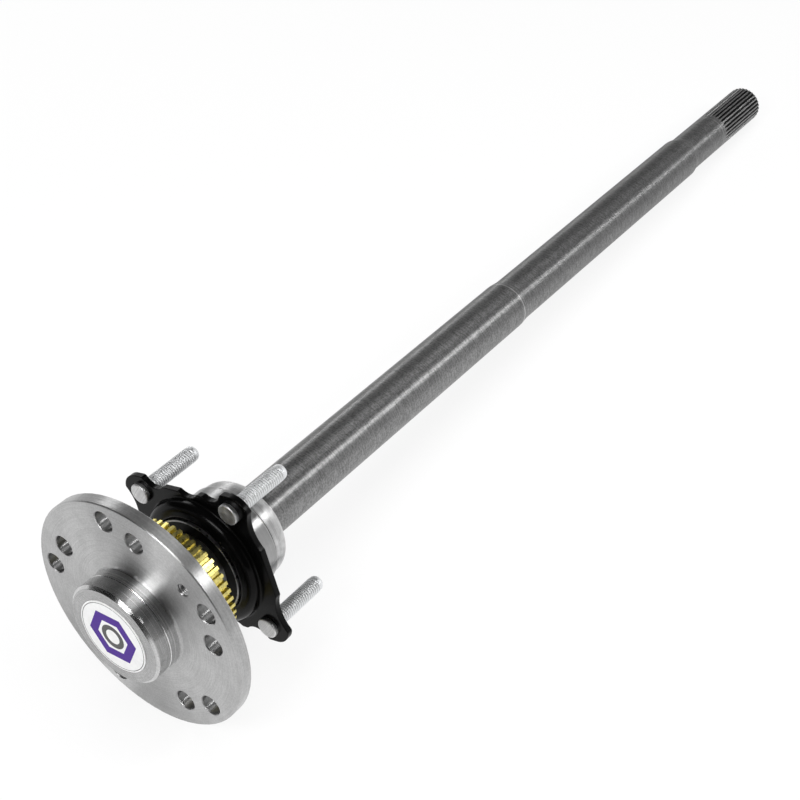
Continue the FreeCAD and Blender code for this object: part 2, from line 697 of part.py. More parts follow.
# The two short sides are set back between the ears and notched, and hollows run up to each ear.
def cutPlateSides(body, size):
    beyond = size.plateHalfHeight + size.shortSideSet
    across = size.earValleyAcross
    sketch = makeSketch(body, "ShortSideProfile", "XY_Plane")
    drawOutline(sketch, box(-across, size.shortSide, across, beyond))
    drawOutline(sketch, box(-across, -beyond, across, -size.shortSide))
    pocketSketch(body, "ShortSides", sketch, size.plateThickness)

    sketch = makeSketch(body, "EarValleyProfile", "XY_Plane")
    along = size.shortSide - size.earValleyDepth + size.earValleyRadius
    for x in (across, -across):
        for y in (along, -along):
            drawCircle(sketch, x, y, size.earValleyRadius)
    pocketSketch(body, "EarValleys", sketch, size.plateThickness)

    sketch = makeSketch(body, "NotchProfile", "XY_Plane")
    along = size.shortSide - size.notchDepth + size.notchRadius
    for y in (along, -along):
        drawCircle(sketch, size.notchAcross, y, size.notchRadius)
    pocketSketch(body, "Notches", sketch, size.plateThickness)

    sketch = makeSketch(body, "SideValleyProfile", "XY_Plane")
    away = size.plateHalfWidth - size.sideValleyDepth + size.sideValleyRadius
    for x in (away, -away):
        for y in (size.sideValleyAlong, -size.sideValleyAlong):
            drawCircle(sketch, x, y, size.sideValleyRadius)
    pocketSketch(body, "SideValleys", sketch, size.plateThickness)


def domeProfile(size):
    bore = size.plateBore
    top = -size.domeHeight
    return [
        (bore, size.plateThickness),
        (bore, top + size.lipRound, size.lipRound),
        (bore + size.lipRound, top),
        (size.domeRadius - size.domeRound, top, size.domeRound),
        (size.domeRadius, top + size.domeRound),
        (size.domeRadius, -size.domeFootRound, -size.domeFootRound),
        (size.domeRadius + size.domeFootRound, 0),
        (size.domeRadius + size.domeFootRound, size.plateThickness),
    ]


# The bore clears the seal case, a recess takes its flange, and the dome is hollow from behind.
def hollowPlate(body, size):
    bore = size.plateBore
    recess = size.sealFlangeRadius + size.sealFlangeGap
    recessFloor = size.plateThickness - size.sealFlangeThickness
    corners = [
        (0, 0),
        (bore, 0),
        (bore, recessFloor),
        (recess, recessFloor),
        (recess, size.plateThickness),
        (0, size.plateThickness),
    ]
    grooveOutline(body, "SealBore", corners)
    inner = bore + size.plateThickness
    outer = size.domeRadius - size.plateThickness
    roof = size.plateThickness - size.domeHeight
    insideRound = size.domeInsideRound
    corners = [
        (inner, size.plateThickness),
        (outer, size.plateThickness),
        (outer, roof + insideRound, -insideRound),
        (outer - insideRound, roof),
        (inner, roof),
    ]
    grooveOutline(body, "DomeHollow", corners)


def studPlaces(size):
    x, y = size.studHalfWidth, size.studHalfHeight
    return [(x, y), (-x, y), (-x, -y), (x, -y)]


def makeStud(doc, size, name):
    body = doc.addObject("PartDesign::Body", name)
    shoulderEnd = size.plateThickness + size.studShoulderLength
    corners = [
        (0, -size.studHeadThickness),
        (size.studHeadRadius - size.studHeadEdge, -size.studHeadThickness),
        (size.studHeadRadius, size.studHeadEdge - size.studHeadThickness),
        (size.studHeadRadius, 0),
        (size.studPressRadius, 0),
        (size.studPressRadius, size.plateThickness),
        (size.studShoulderRadius, size.plateThickness),
        (size.studShoulderRadius, shoulderEnd),
        (size.studThreadRadius, shoulderEnd),
        (size.studThreadRadius, size.studLength - size.studTipRound, size.studTipRound),
        (size.studThreadRadius - size.studTipRound, size.studLength),
        (0, size.studLength),
    ]
    turnOutline(body, name + "Turned", corners)
    return body


# Sheet case: a tube round the lip, a flange against the bearing and a spigot in the outer ring.
def makeSealCase(doc, size):
    body = doc.addObject("PartDesign::Body", "SealCase")
    inside = size.sealInsideRadius
    flangeEnd = size.sealDepth
    flangeStart = flangeEnd - size.sealFlangeThickness
    spigotInside = size.shieldSeatRadius - size.sealWall
    corners = [
        (inside, 0),
        (size.sealRadius, 0),
        (size.sealRadius, flangeStart),
        (size.sealFlangeRadius, flangeStart),
        (size.sealFlangeRadius, flangeEnd),
        (size.shieldSeatRadius, flangeEnd),
        (size.shieldSeatRadius, flangeEnd + size.sealSpigot),
        (spigotInside, flangeEnd + size.sealSpigot),
        (spigotInside, flangeStart),
        (inside, flangeStart),
        (inside, size.sealWebEnd),
        (size.sealWebInnerRadius, size.sealWebEnd),
        (size.sealWebInnerRadius, size.sealWebSet),
        (inside, size.sealWebSet),
    ]
    turnOutline(body, "SealCasePressed", corners)
    return body


# Rubber on the web of the case: a dust lip in front and a sprung lip behind, both close to the journal.
def makeSealLip(doc, size):
    body = doc.addObject("PartDesign::Body", "SealLip")
    inside = size.sealInsideRadius
    webEnd = size.sealWebEnd
    tip = size.sealJournalRadius + size.sealLipGap
    lipDepth = size.sealNeckRadius - tip
    corners = [
        (inside, size.sealFaceSet),
        (inside, size.sealWebSet),
        (size.sealWebInnerRadius, size.sealWebSet),
        (size.sealWebInnerRadius, webEnd),
        (size.sealLipBackRadius, webEnd + size.sealWebGap),
        (size.sealLipBackRadius, size.sealLipLength),
        (size.sealNeckRadius, size.sealLipLength),
        (tip, size.sealLipLength - lipDepth),
        (size.sealNeckRadius, size.sealLipLength - size.sealLipLead),
        (size.sealNeckRadius, webEnd),
        (tip, size.sealFaceSet + size.dustLipWidth),
        (tip, size.sealFaceSet),
    ]
    turnOutline(body, "SealLipMoulded", corners)
    return body


def makeSealSpring(doc, size):
    spring = doc.addObject("Part::Torus", "SealSpring")
    circle = size.sealLipBackRadius + size.springWireRadius
    spring.Radius1 = circle.value
    spring.setExpression("Radius1", circle.formula)
    spring.Radius2 = size.springWireRadius.value
    spring.setExpression("Radius2", size.springWireRadius.formula)
    return spring


def makeLabel(doc, size):
    label = doc.addObject("Part::Cylinder", "HubLabel")
    label.Radius = size.labelRadius.value
    label.setExpression("Radius", size.labelRadius.formula)
    label.Height = size.labelThickness.value
    label.setExpression("Height", size.labelThickness.formula)
    return label


# The shaft lies on the back edge of the flange rim and on the tips of its teeth, so its axis dips.
def dipOfAxis(size):
    rimPlace = size.flangeThickness - size.flangeEdge
    drop = size.flangeRadius - size.splineRadius
    length = size.shaftLength - size.endChamfer - rimPlace
    return math.degrees(math.atan2(drop.value, length.value))


# Each piece is built about its own Z axis. Here that axis is laid along the shaft, which runs along X,
# with Y to the side and the dip at the splined end.
def placeAlong(piece, label, size, distance, turn=0.0, aside=Vector()):
    lay = FreeCAD.Placement(Vector(), FreeCAD.Rotation(Vector(1, 1, 1), 120))
    dip = FreeCAD.Placement(Vector(), FreeCAD.Rotation(Vector(0, 1, 0), dipOfAxis(size)))
    along = FreeCAD.Placement(Vector(0, 0, distance.value), FreeCAD.Rotation(Vector(0, 0, 1), turn))
    piece.Placement = dip * lay * along * FreeCAD.Placement(aside, FreeCAD.Rotation())
    piece.Label = label


def assemble(doc, size):
    flat = asSize(0)
    placeAlong(makeShaft(doc, size), "axle_shaft", size, flat)
    placeAlong(makeLabel(doc, size), "hub_label", size, -size.pilotLength - size.labelThickness)
    placeAlong(makeToneRing(doc, size), "tone_ring", size, size.toneRingStart)
    placeAlong(makeInnerRing(doc, size), "bearing_inner_ring", size, size.bearingStart)
    placeAlong(makeOuterRing(doc, size), "bearing_outer_ring", size, size.bearingStart)
    placeAlong(makeShield(doc, size), "bearing_shield", size, size.bearingEnd - size.shieldSeatDepth)
    placeAlong(makeSealCase(doc, size), "seal_case", size, size.sealFront)
    placeAlong(makeSealLip(doc, size), "seal_lip", size, size.sealFront)
    springPlace = size.sealFront + size.sealLipLength - size.springWireRadius * 2
    placeAlong(makeSealSpring(doc, size), "seal_spring", size, springPlace)
    placeAlong(makeLockRing(doc, size), "lock_ring", size, size.lockRingStart)
    placeBalls(doc, size)
    placeRetainer(doc, size)


def placeBalls(doc, size):
    ballPlace = size.bearingStart + size.bearingWidth / 2
    placeAlong(makeCage(doc, size), "ball_cage", size, ballPlace)
    away = Vector(size.ballCircleRadius.value, 0, 0)
    count = int(size.ballCount.value)
    for number in range(count):
        ball = makeBall(doc, size, "Ball%02d" % (number + 1))
        label = "bearing_ball_%02d" % (number + 1)
        placeAlong(ball, label, size, ballPlace, 360.0 * number / count, away)


def placeRetainer(doc, size):
    turn = size.plateAngle.value
    placeAlong(makeRetainerPlate(doc, size), "retainer_plate", size, size.plateStart, turn)
    for number, (x, y) in enumerate(studPlaces(size), start=1):
        stud = makeStud(doc, size, "RetainerStud%d" % number)
        aside = Vector(x.value, y.value, 0)
        placeAlong(stud, "retainer_stud_%d" % number, size, size.plateStart, turn, aside)


# Nothing is written until every object is sound and every piece is one valid solid.
def checkDocument(doc):
    for item in doc.Objects:
        if "Invalid" in item.State or "Error" in item.State:
            raise ValueError(item.Name + " failed")
    for piece in pieces(doc):
        shape = piece.Shape
        if shape.isNull() or not shape.isValid() or len(shape.Solids) != 1:
            raise ValueError(piece.Label + " isn't one valid solid")


def pieces(doc):
    return [item for item in doc.Objects
            if item.TypeId in ("PartDesign::Body", "Part::Sphere", "Part::Torus", "Part::Cylinder")]


def main():
    doc = FreeCAD.newDocument("AxleShaft")
    size = makeSheet(doc)
    assemble(doc, size)
    doc.recompute()
    checkDocument(doc)
    os.makedirs("parts", exist_ok=True)
    for piece in pieces(doc):
        piece.Shape.exportStep("parts/" + piece.Label + ".step")
        print(piece.Label, round(piece.Shape.Volume))


main()
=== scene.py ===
import json
import math

import bmesh
import bpy
from mathutils import Matrix, Vector


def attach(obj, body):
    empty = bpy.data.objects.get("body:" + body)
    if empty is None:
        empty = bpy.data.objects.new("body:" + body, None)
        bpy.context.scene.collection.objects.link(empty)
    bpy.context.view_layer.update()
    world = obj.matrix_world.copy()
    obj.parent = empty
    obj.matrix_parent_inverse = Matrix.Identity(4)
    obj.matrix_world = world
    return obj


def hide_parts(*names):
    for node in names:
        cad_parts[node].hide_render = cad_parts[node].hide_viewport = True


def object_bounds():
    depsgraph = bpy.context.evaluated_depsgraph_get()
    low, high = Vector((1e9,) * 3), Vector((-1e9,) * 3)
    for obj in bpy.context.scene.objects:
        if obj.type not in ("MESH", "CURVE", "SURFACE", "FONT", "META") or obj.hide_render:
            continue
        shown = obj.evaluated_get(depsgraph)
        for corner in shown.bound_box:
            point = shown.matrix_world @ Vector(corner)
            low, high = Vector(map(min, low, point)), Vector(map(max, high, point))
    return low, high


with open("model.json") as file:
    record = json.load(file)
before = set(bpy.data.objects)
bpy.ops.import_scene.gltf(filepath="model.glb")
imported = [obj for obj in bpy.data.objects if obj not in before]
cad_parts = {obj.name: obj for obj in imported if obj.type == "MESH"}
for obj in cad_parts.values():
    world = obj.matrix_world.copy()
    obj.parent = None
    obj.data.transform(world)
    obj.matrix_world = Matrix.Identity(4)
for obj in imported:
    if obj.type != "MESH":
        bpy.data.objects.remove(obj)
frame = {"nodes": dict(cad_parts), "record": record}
cadLow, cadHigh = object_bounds()
nodes = frame["nodes"]
mounts = {mount["name"]: mount for mount in frame["record"]["mounts"]}
mm = 0.001

# The shaft axis starts at the middle of the wheel face and dips toward the splined end.
axis = Vector(mounts["spline_end"]["axis"]).normalized()
dip = math.atan2(-axis.z, axis.x)
sideways = Vector((0, 1, 0))
upward = axis.cross(sideways)


# Place of a piece that was made in millimetres about its own Z axis, laid along the shaft from a point.
def layAlong(start):
    lay = Matrix((sideways, upward, axis)).transposed().to_4x4()
    return Matrix.Translation(start) @ lay @ Matrix.Scale(mm, 4)


# Place and nearest distance in metres, lens and film width in millimetres.
camera = {
    "place": (-0.35409, -0.45550, 0.71634),
    "forward": (0.58051, 0.42530, -0.69435),
    "lens": 66.91,
    "filmWidth": 36,
    "nearest": 0.01,
}


def makeCamera():
    data = bpy.data.cameras.new("camera")
    data.lens = camera["lens"]
    data.sensor_width = camera["filmWidth"]
    data.clip_start = camera["nearest"]
    eye = bpy.data.objects.new("camera", data)
    eye.location = camera["place"]
    eye.rotation_euler = Vector(camera["forward"]).to_track_quat("-Z", "Y").to_euler()
    bpy.context.scene.collection.objects.link(eye)
    bpy.context.scene.camera = eye
    bpy.context.scene.view_settings.view_transform = "Standard"


makeCamera()
print("camera ready")


# Nodes and links

def addNode(tree, kind, values=None, **settings):
    node = tree.nodes.new(kind)
    for name, value in settings.items():
        setattr(node, name, value)
    for socket, value in (values or {}).items():
        if isinstance(value, bpy.types.NodeSocket):
            tree.links.new(value, node.inputs[socket])
        else:
            node.inputs[socket].default_value = value
    return node


def newMaterial(name):
    material = bpy.data.materials.new(name)
    material.use_nodes = True
    material.node_tree.nodes.clear()
    return material, material.node_tree


def useSurface(tree, shader, kind="ShaderNodeOutputMaterial"):
    addNode(tree, kind, {"Surface": shader.outputs[0]})


def doMath(tree, operation, first, second=0.0):
    return addNode(tree, "ShaderNodeMath", {0: first, 1: second}, operation=operation).outputs[0]


def add(tree, total, *others):
    for other in others:
        total = doMath(tree, "ADD", total, other)
    return total


def multiply(tree, total, *others):
    for other in others:
        total = doMath(tree, "MULTIPLY", total, other)
    return total


def doVectorMath(tree, operation, first, second=(0, 0, 0), output="Vector"):
    node = addNode(tree, "ShaderNodeVectorMath", {0: first, 1: second}, operation=operation)
    return node.outputs[output]


def scaleVector(tree, vector, scale):
    node = addNode(tree, "ShaderNodeVectorMath", {0: vector, "Scale": scale}, operation="SCALE")
    return node.outputs["Vector"]


# The mix node keeps its colours in inputs 6 and 7 and in output 2.
def mixColour(tree, factor, first, second):
    mix = addNode(tree, "ShaderNodeMix", {0: factor, 6: first, 7: second}, data_type="RGBA")
    return mix.outputs[2]


def mapRange(tree, value, low, high, toLow=0.0, toHigh=1.0):
    node = addNode(tree, "ShaderNodeMapRange", {
        "Value": value,
        "From Min": low,
        "From Max": high,
        "To Min": toLow,
        "To Max": toHigh,
    }, interpolation_type="SMOOTHSTEP")
    return node.outputs[0]


# Most of a noise lies in this span.
noiseSpan = (0.3, 0.7)


def makeNoise(tree, place, scale, detail):
    node = addNode(tree, "ShaderNodeTexNoise", {"Vector": place, "Scale": scale, "Detail": detail})
    return node.outputs[0]


def grey(level):
    return (level, level, level, 1)


# Millimetres along the shaft, sideways and up, whatever the dip.
def shaftCoordinates(tree):
    coordinates = addNode(tree, "ShaderNodeTexCoord")
    mapping = addNode(tree, "ShaderNodeMapping", {
        "Vector": coordinates.outputs["Object"],
        "Rotation": (0, -dip, 0),
        "Scale": (1 / mm, 1 / mm, 1 / mm),
    })
    return mapping.outputs["Vector"]


# Distance along the shaft, place across it and distance from its axis.
def splitPlace(tree, place):
    along = addNode(tree, "ShaderNodeSeparateXYZ", {0: place}).outputs["X"]
    across = doVectorMath(tree, "MULTIPLY", place, (0, 1, 1))
    radius = doVectorMath(tree, "LENGTH", across, output="Value")
    return along, across, radius


markForm = {
    "faceSpread": 1.37,     # marks on a face, for each one on a side
    "detail": 3.0,
    "height": 0.03 * mm,
}


# Fine marks that run round the axis, on the sides of a turned piece and on its faces alike.
# A larger turnScale breaks them up into shorter ones.
def turningMarks(tree, place, fineness, turnScale):
    along, across, radius = splitPlace(tree, place)
    together = add(tree, along, multiply(tree, radius, markForm["faceSpread"]))
    run = addNode(tree, "ShaderNodeCombineXYZ", {"X": multiply(tree, together, fineness)}).outputs[0]
    aroundAxis = scaleVector(tree, doVectorMath(tree, "NORMALIZE", across), turnScale)
    return makeNoise(tree, doVectorMath(tree, "ADD", run, aroundAxis), 1.0, markForm["detail"])


# Direction round the axis at each point.
def roundTangent(tree, place):
    cross = doVectorMath(tree, "CROSS_PRODUCT", (1, 0, 0), place)
    turnBack = {"Vector": cross, "Rotation": (0, dip, 0)}
    mapping = addNode(tree, "ShaderNodeMapping", turnBack, vector_type="VECTOR")
    return doVectorMath(tree, "NORMALIZE", mapping.outputs[0])


# Bare metal. A quarter turn of the tangent draws its highlights out across the marks.
def useMetal(tree, place, colour, roughness, anisotropy, marks, markDepth):
    bump = addNode(tree, "ShaderNodeBump", {
        "Height": marks,
        "Strength": markDepth,
        "Distance": markForm["height"],
    })
    shader = addNode(tree, "ShaderNodeBsdfPrincipled", {
        "Base Color": colour,
        "Metallic": 1.0,
        "Roughness": roughness,
        "Anisotropic": anisotropy,
        "Anisotropic Rotation": 0.25,
        "Tangent": roundTangent(tree, place),
        "Normal": bump.outputs[0],
    })
    useSurface(tree, shader)


# Where the flange's holes lie, in millimetres, and how far their walls may face along the axis.
holeBand = {
    "facing": (0.5, 0.9),
    "flangeBack": (8.98, 9.0),
    "inside": (52.0, 53.0),
    "outside": (79.0, 80.0),
}


# How far a face is the wall of a hole in the flange, which gets a painted shade: 1 there, 0 on turned
# faces.
def holeWalls(tree, along, radius):
    normal = addNode(tree, "ShaderNodeTexCoord").outputs["Normal"]
    facing = doVectorMath(tree, "DOT_PRODUCT", normal, tuple(axis), "Value")
    wall = mapRange(tree, doMath(tree, "ABSOLUTE", facing), *holeBand["facing"], 1.0, 0.0)
    inFlange = mapRange(tree, along, *holeBand["flangeBack"], 1.0, 0.0)
    pastInside = mapRange(tree, radius, *holeBand["inside"])
    beforeOutside = mapRange(tree, radius, *holeBand["outside"], 1.0, 0.0)
    return multiply(tree, wall, inFlange, pastInside, beforeOutside)


# Share of a thin ring's width that is full.
ringCore = 0.4


# Narrow band, 1 at a distance along the shaft.
def thinRing(tree, along, distance, halfWidth):
    off = doMath(tree, "ABSOLUTE", doMath(tree, "SUBTRACT", along, distance))
    return mapRange(tree, off, halfWidth * ringCore, halfWidth, 1.0, 0.0)


# Where each finish passes into the next, and where painted shade sets in, in millimetres along the shaft.
finishEnds = {
    "pilotFaceShade": (-20.3, -19.9),
    "pilot": (-1.8, -0.9),
    "flange": (8.8, 9.4),
    "dullFlange": (9.0, 10.0),
    "bearing": (103.0, 105.0),
    # Over this stretch a painted shade darkens the shaft toward its splined end.
    "shaftShadeFade": (250.0, 600.0),
    "shaft": (753.6, 754.6),
}

# Sets of four are a range of a noise and the range that it is turned into.
shaftLook = {
    # Painted shade: the pilot's end face is a darker copy of the pilot's steel.
    "pilotFaceShade": grey(0.40),
    "pilot": grey(0.56),
    "flange": grey(0.50),
    "barrel": grey(0.48),
    "shaft": grey(0.28),
    # Painted shade: the shaft's colour toward its splined end is darker.
    "farShaftShade": grey(0.22),
    # Painted shade: the spline's grooves darken to near black from the tips' radius inward.
    "splineGrooveShade": grey(0.015),
    "splineTip": grey(0.30),
    "toothRadius": (15.3, 16.35),
    # Painted shade on the walls of the flange's holes.
    "holeWallShade": grey(0.30),
    "markFineness": 0.9,
    "markTurn": 0.1,
    "markShade": (0.3, 0.7, 0.935, 1.045),
    "markRoughness": (0.3, 0.7, 0.33, 0.37),
    "markDepth": 0.05,
    "mottleScale": 0.09,
    "mottleDetail": 5.0,
    "mottleShade": (0.35, 0.65, 0.95, 1.04),
    "speckleScale": 0.75,
    "speckleDetail": 4.0,
    "speckleShade": (0.36, 0.64, -0.2, 0.22),
    "speckleRoughness": (0.35, 0.65, 0.05, 0.13),
    "scratchFineness": 1.1,
    "scratchTurn": 2.2,
    "scratchShade": (0.36, 0.64, -0.16, 0.18),
    "machinedWear": 0.3,      # share of speckles and scratches before the bearing's end
    "pilotPolish": 0.09,
    "flangeDulling": 0.07,
    "anisotropy": 0.92,
}

# Painted highlights: thin bright rings round the shaft where its step and fine lines catch the light.
# Each gives distance along it, half width and gain.
paintedHighlightRings = (
    (-9.0, 0.5, 0.45),
    (-5.2, 0.4, 0.35),
    (406.0, 0.8, 1.0),
    (751.0, 0.5, 0.8),
)


def makeShaftSteel():
    look = shaftLook
    material, tree = newMaterial("shaftSteel")
    place = shaftCoordinates(tree)
    along, _, radius = splitPlace(tree, place)

    def past(end, toLow=0.0, toHigh=1.0):
        return mapRange(tree, along, *finishEnds[end], toLow, toHigh)

    marks = turningMarks(tree, place, look["markFineness"], look["markTurn"])
    scratches = turningMarks(tree, place, look["scratchFineness"], look["scratchTurn"])
    speckle = makeNoise(tree, place, look["speckleScale"], look["speckleDetail"])
    mottle = makeNoise(tree, place, look["mottleScale"], look["mottleDetail"])

    # Painted shade between the spline's teeth, darker toward their root.
    toothHeight = mapRange(tree, radius, *look["toothRadius"])
    teeth = mixColour(tree, toothHeight, look["splineGrooveShade"], look["splineTip"])
    # Painted shade: the rod darkens toward its splined end.
    rod = mixColour(tree, past("shaftShadeFade"), look["shaft"], look["farShaftShade"])
    # The pilot's end face gets its painted shade.
    colour = mixColour(tree, past("pilotFaceShade"), look["pilotFaceShade"], look["pilot"])
    colour = mixColour(tree, past("pilot"), colour, look["flange"])
    colour = mixColour(tree, past("flange"), colour, look["barrel"])
    colour = mixColour(tree, past("bearing"), colour, rod)
    colour = mixColour(tree, past("shaft"), colour, teeth)
    # Painted shade inside the flange's holes.
    colour = mixColour(tree, holeWalls(tree, along, radius), colour, look["holeWallShade"])

    wear = past("bearing", look["machinedWear"])
    speckles = multiply(tree, mapRange(tree, speckle, *look["speckleShade"]), wear)
    scratched = multiply(tree, mapRange(tree, scratches, *look["scratchShade"]), wear)
    markShade = mapRange(tree, marks, *look["markShade"])
    mottleShade = mapRange(tree, mottle, *look["mottleShade"])
    shade = multiply(tree, markShade, mottleShade, add(tree, 1.0, speckles, scratched))
    # Painted highlights: bright rings added to the shade.
    for distance, halfWidth, gain in paintedHighlightRings:
        shade = add(tree, shade, multiply(tree, thinRing(tree, along, distance, halfWidth), gain))

    markRoughness = mapRange(tree, marks, *look["markRoughness"])
    speckleRoughness = mapRange(tree, speckle, *look["speckleRoughness"])
    roughness = add(tree, markRoughness, multiply(tree, past("bearing"), speckleRoughness))
    onFlange = multiply(tree, past("pilot"), past("dullFlange", look["flangeDulling"], 0.0))
    roughness = add(tree, roughness, onFlange, past("pilot", -look["pilotPolish"], 0.0))
    useMetal(tree, place, scaleVector(tree, colour, shade), roughness, look["anisotropy"],
             marks, look["markDepth"])
    return material


metalGrain = {
    "markTurn": 0.2,
    "markDepth": 0.08,
    "mottleScale": 0.25,
    "mottleDetail": 5.0,
    "roughnessSpread": 0.15,
}


# A turned or plated piece in one colour. Between its teeth a painted shade darkens it from the tips'
# radius inward.
def makeMetal(name, colour, roughness, anisotropy=0.0, fineness=0.9, contrast=0.08, paintedGapShade=None):
    grain = metalGrain
    material, tree = newMaterial(name)
    place = shaftCoordinates(tree)
    marks = turningMarks(tree, place, fineness, grain["markTurn"])
    mottle = makeNoise(tree, place, grain["mottleScale"], grain["mottleDetail"])
    markShade = mapRange(tree, marks, *noiseSpan, 1.0 - contrast, 1.0 + contrast)
    mottleShade = mapRange(tree, mottle, *noiseSpan, 1.0 - contrast, 1.0 + contrast)
    shade = multiply(tree, markShade, mottleShade)
    # Painted shade between the teeth.
    if paintedGapShade:
        _, _, radius = splitPlace(tree, place)
        shade = multiply(tree, shade, mapRange(tree, radius, paintedGapShade["floor"], paintedGapShade["tip"], paintedGapShade["shade"], 1.0))
    spread = roughness * grain["roughnessSpread"]
    rough = mapRange(tree, mottle, *noiseSpan, roughness - spread, roughness + spread)
    tinted = scaleVector(tree, colour[:3], shade)
    useMetal(tree, place, tinted, rough, anisotropy, marks, grain["markDepth"])
    return material


metalLooks = {
    "studZinc": {"colour": (0.84, 0.85, 0.86, 1), "roughness": 0.58, "fineness": 1.0, "contrast": 0.04},
    # Painted shade: a darker copy of the stud zinc on the thread's root between the ridges.
    "threadRootShade": {"colour": grey(0.48), "roughness": 0.62, "fineness": 1.0, "contrast": 0.04},
    # Painted shade: a darker copy of the stud zinc on the heads, which face the flange's back.
    "studHeadShade": {"colour": grey(0.68), "roughness": 0.5, "fineness": 1.0, "contrast": 0.12},
    # The tone ring carries a painted shade between its teeth.
    "toneRingZinc": {"colour": (0.66, 0.57, 0.19, 1), "roughness": 0.3, "fineness": 0.8, "contrast": 0.14,
                     "paintedGapShade": {"floor": 42.6, "tip": 44.8, "shade": 0.75}},
    "bearingSteel": {"colour": grey(0.36), "roughness": 0.33, "anisotropy": 0.88},
    "lockRingSteel": {"colour": grey(0.60), "roughness": 0.44, "anisotropy": 0.88, "fineness": 1.6,
                      "contrast": 0.17},
    "sealSteel": {"colour": grey(0.5), "roughness": 0.3, "anisotropy": 0.5},
    "springSteel": {"colour": grey(0.6), "roughness": 0.25},
}

coatForm = {
    "detail": 4.0,
    "contrast": 0.03,
    "roughnessSpread": 0.15,
    "height": 0.1 * mm,
    "coatRoughness": 0.12,
    "edgeSamples": 6,
}


# Paint, rubber, plastic or film. Its edges look rounded by the radius edge, in millimetres.
def makeCoat(name, colour, roughness, coat=0.0, grain=1.2, grainDepth=0.02, shine=0.5, edge=0.0):
    form = coatForm
    material, tree = newMaterial(name)
    texture = makeNoise(tree, shaftCoordinates(tree), grain, form["detail"])
    shade = mapRange(tree, texture, *noiseSpan, 1.0 - form["contrast"], 1.0 + form["contrast"])
    spread = roughness * form["roughnessSpread"]
    rough = mapRange(tree, texture, *noiseSpan, roughness - spread, roughness + spread)
    relief = {"Height": texture, "Strength": grainDepth, "Distance": form["height"]}
    if edge:
        rounded = addNode(tree, "ShaderNodeBevel", {"Radius": edge * mm}, samples=form["edgeSamples"])
        relief["Normal"] = rounded.outputs[0]
    shader = addNode(tree, "ShaderNodeBsdfPrincipled", {
        "Base Color": scaleVector(tree, colour[:3], shade),
        "Roughness": rough,
        "Coat Weight": coat,
        "Coat Roughness": form["coatRoughness"],
        "Specular IOR Level": shine,
        "Normal": addNode(tree, "ShaderNodeBump", relief).outputs[0],
    })
    useSurface(tree, shader)
    return material


coatLooks = {
    "platePaint": {"colour": grey(0.0015), "roughness": 0.2, "grainDepth": 0.04, "shine": 0.09,
                   "edge": 1.1},
    "shieldPaint": {"colour": grey(0.012), "roughness": 0.4, "grainDepth": 0.1, "shine": 0.3},
    "sealRubber": {"colour": grey(0.003), "roughness": 0.4, "grain": 2.5, "grainDepth": 0.1,
                   "shine": 0.08},
    "cagePlastic": {"colour": (0.5, 0.45, 0.33, 1), "roughness": 0.5, "grainDepth": 0.1},
    "labelFilmPrint": {"colour": grey(0.9), "roughness": 0.35, "coat": 0.1, "grain": 0.3,
                       "grainDepth": 0.0},
    "labelDarkInk": {"colour": grey(0.02), "roughness": 0.35, "coat": 0.2},
    "labelPurpleInk": {"colour": (0.06, 0.006, 0.27, 1), "roughness": 0.35, "shine": 0.15},
}


def dress(material, *names):
    for name in names:
        node = nodes[name]
        node.data.materials.clear()
        node.data.materials.append(material)


balls = [name for name in nodes if name.startswith("bearing_ball")]
shaftSteel = makeShaftSteel()
metals = {name: makeMetal(name, **look) for name, look in metalLooks.items()}
coats = {name: makeCoat(name, **look) for name, look in coatLooks.items()}
dress(shaftSteel, "axle_shaft")
dress(metals["toneRingZinc"], "tone_ring")
dress(metals["bearingSteel"], "bearing_outer_ring", "bearing_inner_ring", *balls)
dress(metals["lockRingSteel"], "lock_ring")
dress(metals["sealSteel"], "seal_case")
dress(metals["springSteel"], "seal_spring")
dress(coats["platePaint"], "retainer_plate")
dress(coats["shieldPaint"], "bearing_shield")
dress(coats["sealRubber"], "seal_lip")
dress(coats["cagePlastic"], "ball_cage")
print("materials ready")


# New pieces

meshForm = {
    "sharpAngle": math.radians(38),
    "roundSteps": 6,
    "joinDistance": 0.0005,
    "rootShare": 0.42,      # half widths of a thread's ridge, as shares of its pitch
    "crestShare": 0.09,
}


def addPiece(name, mesh, place, materials, body):
    bmesh.ops.transform(mesh, matrix=place, verts=mesh.verts)
    bmesh.ops.recalc_face_normals(mesh, faces=mesh.faces)
    data = bpy.data.meshes.new(name)
    mesh.to_mesh(data)
    mesh.free()
    for material in materials:
        data.materials.append(material)
    data.set_sharp_from_angle(angle=meshForm["sharpAngle"])
    piece = bpy.data.objects.new(name, data)
    bpy.context.scene.collection.objects.link(piece)
    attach(piece, body)
    return piece


# Solid turned about the Z axis from corners of (radius, height, rounding), first and last on the axis.
def turnSolid(mesh, corners, sides):
    line = [mesh.verts.new((radius, 0, height)) for radius, height, rounding in corners]
    for pair in zip(line, line[1:]):
        mesh.edges.new(pair)
    for vertex, (radius, height, rounding) in zip(line, corners):
        if rounding:
            bmesh.ops.bevel(mesh, geom=[vertex], offset=rounding, segments=meshForm["roundSteps"],
                            profile=0.5, affect="VERTICES", material=-1)
    bmesh.ops.spin(mesh, geom=mesh.verts[:] + mesh.edges[:], cent=(0, 0, 0), axis=(0, 0, 1),
                   angle=math.tau, steps=sides, use_merge=True)
    bmesh.ops.remove_doubles(mesh, verts=mesh.verts, dist=meshForm["joinDistance"])
    for face in mesh.faces:
        face.smooth = True


